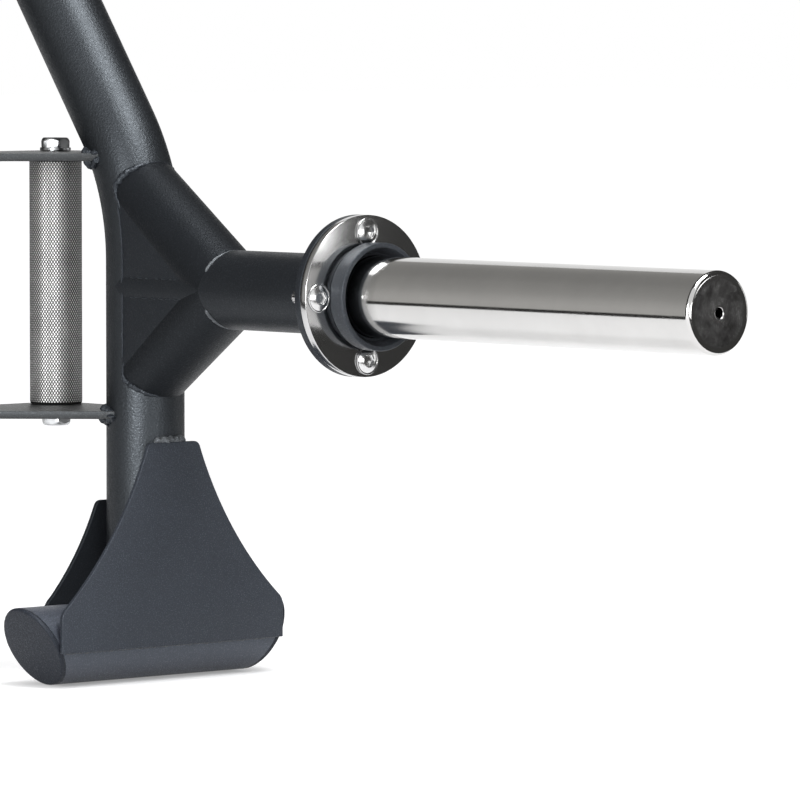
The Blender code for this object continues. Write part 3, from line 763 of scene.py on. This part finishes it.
def screw_shell(y, up):
    """Low domed socket screw on a thin washer: spherical crown, hexagonal pocket, thread end behind."""
    rise = SCREW_HEAD - SCREW_RIM
    ball = (SCREW_HEAD_R ** 2 + rise ** 2) / (2 * rise)
    dome = arc((0, SCREW_HEAD - ball), ball, math.acos(SCREW_HEAD_R / ball), math.acos(SCREW_CROWN_R / ball), 6)
    tail = -(2 * FLANGE_THICK + 2 * SEAM + THREAD_END)
    pocket = hexagon(SOCKET_FLATS)
    thread = [(tail, 0.0008), (tail + 0.0002, 0.0026), (tail + 0.0010, 0.0038), (tail + 0.0018, THREAD_R),
              (0.0, THREAD_R)]
    washer = [(0.0, SCREW_WASHER_R - 0.0004), (0.0002, SCREW_WASHER_R), (SCREW_WASHER_HIGH - 0.0002, SCREW_WASHER_R),
              (SCREW_WASHER_HIGH, SCREW_WASHER_R - 0.0002)]
    groove = [(SCREW_WASHER_HIGH, SCREW_HEAD_R + 0.0002), (SCREW_WASHER_HIGH / 2, SCREW_HEAD_R + 0.0001)]
    crown = [(height, radius) for radius, height in dome]
    lip = dome[-1, 1] - 0.0002
    socket = [(lip, 0.0043), (lip, np.minimum(pocket * 1.12, 0.0042)), (lip - 0.0004, pocket),
              (SOCKET_FLOOR, pocket), (SOCKET_FLOOR - 0.0002, pocket * 0.4), (SOCKET_FLOOR - 0.0003, 0.0003)]
    return turned_rings(thread + washer + groove + crown + socket, (FLANGE_FACE + SEAM, y, up), (1, 0, 0))


# ---------------------------------------------------------------- finishes
def charcoal(share):
    """A share of the bar's dark blue grey, for lighter and darker copies of one paint: painted light and shade."""
    return [part * share for part in (0.0105, 0.012, 0.015)]


# The bar's painted parts are one paint; their shares of it are painted light and shade that set each part's brightness
# to how it is lit.
frame_coat = powder_coat("frame_powder_coat", charcoal(0.24), 0.39, 1.8, 0.56, 0.8)
stub_coat = powder_coat("stub_powder_coat", charcoal(0.42), 0.42, 1.0, 0.34)
brace_coat = powder_coat("brace_powder_coat", charcoal(0.34), 0.42, 1.6, 0.22)
web_coat = powder_coat("web_powder_coat", charcoal(0.60), 0.40, 1.0, 0.34)
flange_coat = powder_coat("flange_powder_coat", charcoal(0.72), 0.38)
plate_coat = powder_coat("handle_plate_powder_coat", (0.025, 0.025, 0.0245), 0.38)
# Painted light: the foot plate's paint is a lighter, bluer copy of the bar's paint, for how brightly the plate is lit
foot_coat = powder_coat("foot_powder_coat", (0.0235, 0.0268, 0.0340), 0.42, 2.0, 0.36)
# Painted light: the foot tube is a still lighter copy of the foot's paint, as if lit from the floor below
foot_tube_lit_coat = powder_coat("foot_tube_powder_coat", (0.034, 0.038, 0.050), 0.42, 1.6, 0.7)
# Painted shade: the foot caps are a darker copy of the foot's paint
foot_cap_shaded_coat = powder_coat("foot_cap_powder_coat", (0.015, 0.017, 0.0225), 0.46, 1.6, 0.22)
inner_coat = powder_coat("inner_plate_powder_coat", charcoal(0.5), 0.48)
weld_coat = powder_coat("weld_powder_coat", charcoal(0.95), 0.34, 1.6)
# Painted highlight: a lighter copy of the paint gives these weld beads their bright lines
highlit_weld = powder_coat("thinly_coated_weld", (0.075, 0.08, 0.085), 0.36, 2.0)
sleeve_chrome = chrome("sleeve_chrome", (0.61, 0.605, 0.595), 0.10, 0.000012, (0.03, 1.0, 1.0), SLEEVE_ROOT_SHADE)
flange_chrome = turned_chrome("flange_chrome", (0.62, 0.62, 0.62), 0.12, 0.000006)
end_steel = blotched_steel("sleeve_end_steel", (0.30, 0.30, 0.30), (0.85, 0.85, 0.85), 0.11)
handle_chrome = knurl_chrome("handle_chrome", (0.02, 0.02, 0.02), (0.72, 0.72, 0.715), 0.34)
bolt_zinc = chrome("bolt_zinc", (0.52, 0.53, 0.54), 0.30, 0.00005)
screw_zinc = chrome("screw_zinc", (0.66, 0.66, 0.66), 0.22, 0.00004)
ring_satin = powder_coat("ring_satin_black", (0.022, 0.024, 0.028), 0.36, 0.35, 0.45)

# ---------------------------------------------------------------- pieces
# Each function dresses one side: put() sets its shells there, seed starts the random draws of its welds.
def dress_braces(put, seed):
    """Stub, its two braces with their welds, and the web plates in the windows between them."""
    put("stub_tube_skin", [rod((0, 0, 0), (STUB_END, 0, 0), TUBE_R)], stub_coat, ["stub_tube"], "paint")
    stub_line = np.array([[0.0, 0.0], [STUB_END, 0.0]])
    foot = np.array([BRACE_OUT, 0, 0])
    for level, (out, up) in (("upper", brace_top()), ("lower", (0.0, -BRACE_RISE))):
        end = np.array([out, 0, up])
        put("brace_skin_" + level, [rod(foot, end, TUBE_R, BRACE_END_R)], brace_coat, ["brace_" + level], "paint")
        reach = np.linalg.norm(end - foot)
        way = (end - foot) / reach
        one, two = square_on(way)
        # The welds run round the brace's outer half, the one at the upright also past its front and back.
        middle, girth = (180, WELD_UPPER) if level == "upper" else (0, WELD_LOWER)
        for title, radius, half, start, ahead, line, thick in (
                ("upright", BRACE_END_R, 106, foot, way, centre_line(), girth),
                ("stub", TUBE_R, 62, end, -way, stub_line, WELD_STUB)):
            turn = np.radians(np.linspace(middle - half, middle + half, 90))[:, None]
            ring = radius * (np.cos(turn) * one + np.sin(turn) * two)
            path = crossing(start + ring, ahead, reach * 1.15, line)
            thick = thick * np.interp(np.abs(turn[:, 0] - math.radians(middle)), WELD_TURN, WELD_GIRTH)
            thick = thick * np.interp(path[:, 1], (-0.012, 0.004), (1.0, 0.3))
            put("weld_brace_to_" + title + "_" + level,
                [bead(path, thick, ring / radius, seed + half, ripple=0.0030, rough=0.16)],
                weld_coat if title == "upright" else highlit_weld, slot="paint")
        for face, back in (("front", -1), ("back", 1)):
            flat = plate([(0, 0), (BRACE_OUT, 0), (out, up)], WEB_THICK, 0.0002)
            shell = turned_about(flat, [0, 2, 1], (0, back * (WEB_FACE - WEB_THICK / 2), 0))
            put("web_skin_" + level + "_" + face, [shell], web_coat, ["web_" + level + "_" + face], "web_paint")
        seed += 20


def dress_web_seams(put, seed):
    """Fine seams round the webs: broken ones along the stub, one up the upright on either face."""
    shoulder = math.sqrt(TUBE_R ** 2 - WEB_FACE ** 2)
    seams = []
    dashes = np.random.default_rng(seed)
    for back in (-1, 1):
        for up in (-1, 1):
            start = STUB_SEAM[0]
            while start < STUB_SEAM[1]:
                end = start + dashes.uniform(0.004, 0.009)
                seams.append(bead([(start, back * WEB_FACE, up * shoulder), (end, back * WEB_FACE, up * shoulder)],
                                  0.0004, (0, back, 0), seed + 3, ripple=0.0016, rough=0.4))
                start = end + dashes.uniform(0.001, 0.003)
            seed += 4
        line = [(shoulder - inset(z), back * WEB_FACE, z) for z in np.linspace(*UPRIGHT_SEAM, 24)]
        seams.append(bead(line, 0.0007, (0, back, 0), seed + 1, ripple=0.009, rough=0.15))
    put("weld_web_seams", seams, weld_coat, slot="web_paint")


def dress_sleeve(put):
    """The pair of flanges with their screws, the sleeve with its plug, and the collar ring."""
    disc = eased([(0, 0, 0), (FLANGE_R, 0, FLANGE_EDGE), (FLANGE_R, FLANGE_THICK, FLANGE_EDGE), (0, FLANGE_THICK, 0)])
    disc[[0, -1], 0] = 0.0004
    put("frame_flange_skin", [lathe(disc, STUB_END + SEAM)], flange_coat, ["frame_flange"], "web_paint")
    put("sleeve_flange_skin", [lathe(disc, FLANGE_FACE - FLANGE_THICK)], flange_chrome,
        ["sleeve_flange"], "sleeve_chrome")
    for where, y, up in (("top", 0, SCREW_CIRCLE), ("bottom", 0, -SCREW_CIRCLE), ("front", -SCREW_CIRCLE, 0),
                         ("back", SCREW_CIRCLE, 0)):
        put("screw_" + where, [screw_shell(y, up)], screw_zinc, ["flange_screw_" + where], "zinc", 30.0)
    lip = arc((SLEEVE_R - SLEEVE_LIP, SLEEVE_LONG - SLEEVE_LIP), SLEEVE_LIP, 0, math.pi / 2, 12)
    tube = np.concatenate([[[SLEEVE_R, SEAM]], lip, [[PLUG_R, SLEEVE_LONG], [PLUG_R, SEAM]]])
    put("sleeve_skin", [lathe(tube, FLANGE_FACE, True)], sleeve_chrome, ["sleeve_tube"], "sleeve_chrome")
    plug_in = SLEEVE_LONG - PLUG_LONG
    plug = eased([(PLUG_R, plug_in, 0), (PLUG_R, SLEEVE_LONG, 0), (PLUG_HOLE_R + 0.0009, SLEEVE_LONG, 0),
                  (PLUG_HOLE_R, SLEEVE_LONG, 0.0007), (PLUG_HOLE_R, plug_in, 0)], True)
    put("sleeve_plug_skin", [lathe(plug, FLANGE_FACE, True, 96)], end_steel, ["sleeve_end_plug"], "plug_steel")
    cup = eased([(RING_R, RING_HIGH, 0.0007), (RING_R, RING_NECK_HIGH, 0.0005), (RING_NECK_R, RING_NECK_HIGH, 0),
                 (RING_NECK_R, SEAM, 0), (RING_BORE_R, SEAM, 0), (RING_BORE_R, RING_FLOOR_HIGH - RING_STEP, 0.0004),
                 (RING_FLOOR_R, RING_FLOOR_HIGH, 0.0003), (RING_FLOOR_R, RING_FLOOR_HIGH + RING_STEP, 0.0003),
                 (RING_R - RING_RIM, RING_HIGH, 0.0005)], True)
    put("collar_ring_skin", [lathe(cup, FLANGE_FACE, True)], ring_satin, ["collar_ring"], "ring_satin")


def dress_handles(put, seed):
    """Handle plates with their welds, bolts and knurled handles."""
    for level, up in (("upper", 1), ("lower", -1)):
        middle = up * (HANDLE_HALF + SEAM + PLATE_THICK / 2)
        flat = plate(plate_outline(middle), PLATE_THICK, 0.0005)
        put("handle_plate_skin_" + level, [turned_about(flat, [0, 1, 2], (0, 0, middle))], plate_coat,
            ["handle_plate_" + level], "plate_paint")
        # The bead runs round the upright on one face of the plate and back on the other.
        sweep = np.radians(np.linspace(104, 262, 40))
        stretch = 1 / math.cos(LEAN * 0.6) if up > 0 else 1.0
        runs = [np.stack([TUBE_R * stretch * np.cos(sweep) - inset(z), TUBE_R * np.sin(sweep), np.full(40, z)], 1)
                for z in (middle + PLATE_THICK / 2, middle - PLATE_THICK / 2)]
        path = np.concatenate([runs[0], runs[1][::-1]])
        out = path - [-inset(middle), 0, middle]
        out[:, 2] *= 3
        put("weld_handle_plate_" + level, [bead(path, PLATE_BEAD_R, out, seed, ripple=0.0034, rough=0.42)],
            weld_coat, slot="paint")
        for grip, y in (("low", 0.0), ("raised", -HANDLE_PITCH)):
            seat = up * (HANDLE_HALF + SEAM + PLATE_THICK)
            put("bolt_" + grip + "_" + level, [bolt_shell(-HANDLE_IN, y, seat, up)], bolt_zinc,
                ["handle_bolt_" + grip + "_" + level], "zinc", 30.0)
    for grip, y in (("low", 0.0), ("raised", -HANDLE_PITCH)):
        points, faces, crest = knurled(-HANDLE_IN, y)
        skin = put("knurled_handle_" + grip, [(points, faces)], handle_chrome, ["handle_" + grip],
                   "handle_chrome", 0.0)
        skin.data.attributes.new("crest", "FLOAT", "POINT").data.foreach_set("value", crest)


def dress_foot(put, seed):
    """Foot tube, its end caps with their seams, and the two bell shaped plates with their beads."""
    cap_in = FOOT_HALF - CAP_THICK * math.hypot(1, FOOT_RAKE)
    put("foot_tube_skin", [foot_tube(cap_in - SEAM)], foot_tube_lit_coat, ["foot_tube"], "foot_paint")
    for face, back in (("front", -1), ("back", 1)):
        put("foot_cap_skin_" + face, [cap_shell(back, cap_in, FOOT_HALF, CAP_EDGE)], foot_cap_shaded_coat,
            ["foot_end_cap_" + face], "foot_paint")
    turn = circle(TURNED_AROUND)
    x, z = FOOT_R * np.cos(turn), FOOT_R * np.sin(turn)
    seams = []
    for back in (-1, 1):
        loop = np.stack([x * 0.975, back * (cap_in + 0.0004 + FOOT_RAKE * z), z * 0.975 + FOOT_AXIS], 1)
        points, faces = bead(loop, CAP_SEAM_R, loop - [0, 0, FOOT_AXIS], seed + 20, True, 0.0018, 0.12)
        points[:, 2] = np.maximum(points[:, 2], -SLEEVE_Z)
        seams.append((points, faces))
        seed += 5
    put("weld_foot_caps", seams, weld_coat, slot="foot_paint")
    for face, out, shape, look, slot in (("outer", 1, OUTER_PLATE, foot_coat, "foot_paint"),
                                         ("inner", -1, INNER_PLATE, inner_coat, "web_paint")):
        flat = plate(bell_outline(**shape), FOOT_PLATE_THICK, 0.0005)
        offset = (out * (TUBE_R + SEAM + FOOT_PLATE_THICK / 2), 0, -SLEEVE_Z)
        put("foot_plate_skin_" + face, [turned_about(flat, [2, 0, 1], offset)], look, ["foot_plate_" + face], slot)
        wide, peak = np.array(shape["peak"]) * (0.6, 1.0)
        across = np.linspace(-wide, wide, 30)
        crest = np.sqrt(TUBE_R ** 2 - across ** 2) * out
        cap_line = np.stack([crest * 0.5 + out * TUBE_R * 0.5, across, np.full(30, peak - SLEEVE_Z + 0.0008)], 1)
        skirt = np.stack([np.full(60, out * (TUBE_R + 0.0006)), np.linspace(-1, 1, 60) * (shape["half"] - 0.004),
                          np.full(60, FOOT_BOTTOM - SLEEVE_Z)], 1)
        put("weld_foot_plate_" + face,
            [bead(cap_line, PEAK_BEAD_R, (0, 0, 1), seed + 30, ripple=0.006, rough=0.14),
             bead(skirt, SKIRT_BEAD_R, (out, 0, -1), seed + 34, ripple=0.0034, rough=0.35)],
            highlit_weld, slot="foot_paint")
        seed += 50


piece("frame_tube_skin", [frame_shell()], frame_coat, ["frame_tube"])
for side, name, draw in ((1, "right", 10), (-1, "left", 500)):
    def put(title, shells, look, nodes=(), slot=None, smooth=35.0):
        """Set local shells on this side as one piece."""
        return piece(title + "_" + name, [set_side(side, shell) for shell in shells], look,
                     [node + "_" + name for node in nodes], smooth)

    dress_braces(put, draw)
    dress_web_seams(put, draw + 40)
    dress_sleeve(put)
    dress_handles(put, draw + 65)
    dress_foot(put, draw + 66)

# ---------------------------------------------------------------- studio
scene = bpy.context.scene
scene.view_settings.view_transform = "Standard"


def panel(name, points, faces, look, seen=False):
    """A stage panel. One that isn't seen shows only in reflections."""
    data = bpy.data.meshes.new(name)
    data.from_pydata(points, [], faces)
    data.materials.append(look)
    made = bpy.data.objects.new(name, data)
    scene.collection.objects.link(made)
    for ray in ("camera", "diffuse", "shadow", "transmission"):
        setattr(made, "visible_" + ray, seen)


def flat_panel(name, corners, height, look, seen=False):
    """A level panel from its corners as (x, y)."""
    panel(name, [(x, y, height) for x, y in corners], [range(len(corners))], look, seen)


def curved_panel(name, points, look):
    """A bent panel from rows of points."""
    panel(name, points.reshape(-1, 3).tolist(), grid_quads(*points.shape[:2], False).tolist(), look)


def tent_wall(name, first, last, low, high, look):
    """Curved wall round the bar, from an azimuth to another and from a height in degrees to another.

    A point is TENT_R (sin a cos h, -cos a cos h, sin h)."""
    turn = np.radians(np.linspace(first, last, 25))[None, :]
    lift = np.radians(np.linspace(low, high, 13))[:, None]
    curved_panel(name, TENT_R * np.stack([np.sin(turn) * np.cos(lift), -np.cos(turn) * np.cos(lift),
                                          np.sin(lift) + 0 * turn], 2), look)


def arch(name, low, high, look):
    """Strip of a cylinder about the sleeves' axis: (x, -ARCH_R cos a, sleeve height + ARCH_R sin a)."""
    turn = np.radians(np.linspace(low, high, 41))[None, :]
    along = np.array(ARCH_SPAN)[:, None]
    curved_panel(name, np.stack([along + 0 * turn, -ARCH_R * np.cos(turn) + 0 * along,
                                 SLEEVE_Z + ARCH_R * np.sin(turn) + 0 * along], 2), look)


def wall(name, *levels):
    """A wall that shows a grey in reflections, or greys graded by height, from (height, level) rows."""
    look = Look(bpy.data.materials.new(name))
    total = levels[0][1]
    if len(levels) > 1:
        height = look.value(look.node("ShaderNodeSeparateXYZ", Vector=look.place()), "Z")
        for (low, before), (high, after) in zip(levels, levels[1:]):
            total = height.steps(low, high) * (after - before) + total
    return look.finish(look.node("ShaderNodeEmission", Color=(1.0, 0.985, 0.955, 1), Strength=total))


def studio_floor():
    """Pale matt floor that glows to the camera and in reflections: dimly round the feet, where its matt part keeps the
    real shadow and the dim glow adds a painted shadow, and bright further out.
    """
    look = Look(bpy.data.materials.new("studio_floor"))
    spot = look.node("ShaderNodeSeparateXYZ", Vector=look.place())
    aside = ((look.value(spot, "X").size() - SIDE_X).size() - FOOT_SHADOW_PRINT[0]).clip(0.0, 9.0)
    ahead = (look.value(spot, "Y").size() - FOOT_SHADOW_PRINT[1]).clip(0.0, 9.0)
    distance = (aside * aside + ahead * ahead).power(0.5)
    # Painted shadow: the glow is lowest in the feet's print and rises over 32 mm round it
    glow = distance.steps(0.0, 0.032) * 0.50 + distance.steps(0.5, 2.4) * 0.24 + 0.28
    both = look.node("ShaderNodeAddShader")
    for place, shader in enumerate((
            look.node("ShaderNodeBsdfDiffuse", Color=(0.42, 0.42, 0.43, 1)),
            look.node("ShaderNodeEmission", Color=(1, 1, 1, 1), Strength=look.seen_directly() * glow))):
        look.tree.links.new(shader.outputs[0], both.inputs[place])
    return look.finish(both)


def softbox(name, place, target, size, power):
    """An area light at a place, facing a target."""
    data = bpy.data.lights.new(name, "AREA")
    data.shape = "RECTANGLE"
    data.size, data.size_y = size
    data.energy = power
    made = bpy.data.objects.new(name, data)
    scene.collection.objects.link(made)
    made.location = place
    made.rotation_euler = (Vector(target) - Vector(place)).to_track_quat("-Z", "Y").to_euler()


flat_panel("studio_floor", [(x * FLOOR_HALF, y * FLOOR_HALF) for x, y in ((-1, -1), (1, -1), (1, 1), (-1, 1))],
           FLOOR_Z, studio_floor(), True)

world = bpy.data.worlds.new("studio_world")
scene.world = world
sky = Look(world)
air = sky.node("ShaderNodeBackground", Color=(1, 1, 1, 1), Strength=0.05 + sky.seen_directly() * 0.95)
sky.tree.links.new(air.outputs[0], sky.node("ShaderNodeOutputWorld").inputs["Surface"])

# Dark walls and floor cards give the paint its dark sides, grey arches the sleeve its grey band.
dark_wall = wall("dark_wall", (0.0, 0.03))
dim_wall = wall("dim_wall", (0.0, 0.055))
tent_wall("studio_tent_0", -125, 14, -1, 60, dark_wall)
tent_wall("studio_tent_1", 95, 205, -1, 60, dim_wall)
tent_wall("studio_tent_2", -180, 180, 60, 90, dark_wall)
arch("grey_arch_low", -9, 90, wall("grey_low", (0.11, 0.57), (0.33, 0.56), (0.53, 0.50), (0.73, 0.42), (0.91, 0.37),
                                   (1.04, 0.34), (1.14, 0.30)))
arch("grey_arch_high", 90, 128, wall("grey_high", (0.95, 0.40), (1.14, 0.30)))
flat_panel("dark_strip", [(-5.0, -4.2), (-0.6, -4.2), (0.2, -1.75), (0.2, -0.80), (-5.0, -0.80)], CARD_Z, dark_wall)
flat_panel("dark_ground", [(2.2, -1.0), (3.6, -1.0), (3.6, 3.2), (-0.4, 3.2), (-0.4, 1.9)], CARD_Z, dim_wall)

softbox("front_strip", (1.43, -2.33, 0.55), (0.45, 0.0, 0.25), (0.72, 1.0), 60)
softbox("side_box", (2.76, 1.30, 0.49), (0.62, 0.0, 0.25), (0.38, 0.26), 1.5)
softbox("rear_box", (1.40, 2.75, 0.45), (0.41, 0.0, 0.3), (0.9, 1.3), 6)
softbox("overhead", (1.30, -0.05, 1.9), (0.35, -0.05, 0.35), (1.1, 1.2), 56)
softbox("right_box", (3.41, -0.15, 0.30), (0.41, 0.0, 0.25), (1.7, 0.6), 20)

# The camera looks at the right side from in front, beyond the sleeve's end and a little above.
camera_data = bpy.data.cameras.new("photo_camera")
camera_data.sensor_width = 36.0
camera_data.lens = CAMERA_LENS
camera_data.clip_end = 60.0
camera = bpy.data.objects.new("photo_camera", camera_data)
scene.collection.objects.link(camera)
back = Vector((0.7419, -0.6680, 0.0581)).normalized()
right = Vector((0.6691, 0.7431, 0.0)).normalized()
camera.matrix_world = Matrix.Translation(CAMERA_PLACE) @ Matrix((right, back.cross(right), back)).transposed().to_4x4()
scene.camera = camera

bpy.context.view_layer.update()
